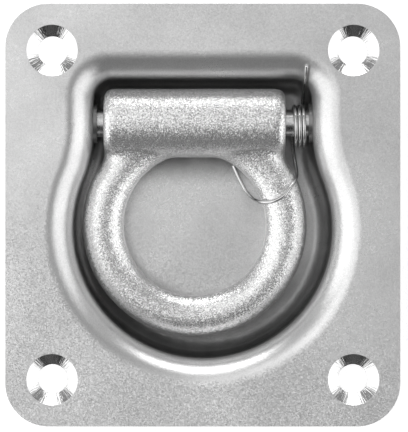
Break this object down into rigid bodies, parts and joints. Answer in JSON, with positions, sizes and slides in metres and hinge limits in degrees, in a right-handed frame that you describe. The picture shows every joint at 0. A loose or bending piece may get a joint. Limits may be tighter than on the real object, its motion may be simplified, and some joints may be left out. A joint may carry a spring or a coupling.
{
  "type": "recessed lashing ring",
  "caption": "Forged lashing ring on a sprung hinge in a pressed, zinc-plated pan that is let into a deck and bolted through countersunk holes.",
  "frame": {"origin": "middle of the four fixing holes, on the underside of the plate, where it meets the deck", "axes": "+X along the hinge pin towards the spring, +Y from the ring's tip towards the pin, +Z out of the deck"},
  "size_m": [0.114, 0.122, 0.0271],
  "materials": {
    "pan_zinc": "bright zinc plate on pressed sheet, satin",
    "ring_zinc": "bright zinc plate on a blasted forging, grainy",
    "pin_zinc": "bright zinc plate on drawn bar",
    "spring_wire": "bright spring wire"
  },
  "bodies": {
    "pan": {"pan_plate": "pan_zinc", "hinge_pin": "pin_zinc", "torsion_spring": "spring_wire"},
    "ring": {"lashing_ring": "ring_zinc"}
  },
  "joints": [
    {"name": "ring_hinge", "type": "hinge", "parent": "pan", "child": "ring", "pos_m": [0, 0.027, -0.0085], "axis": [-1, 0, 0], "range_deg": [0, 128], "stiffness_Nm_per_rad": 0.1, "springref_deg": -57.3, "deforming": ["torsion_spring"]}
  ]
}
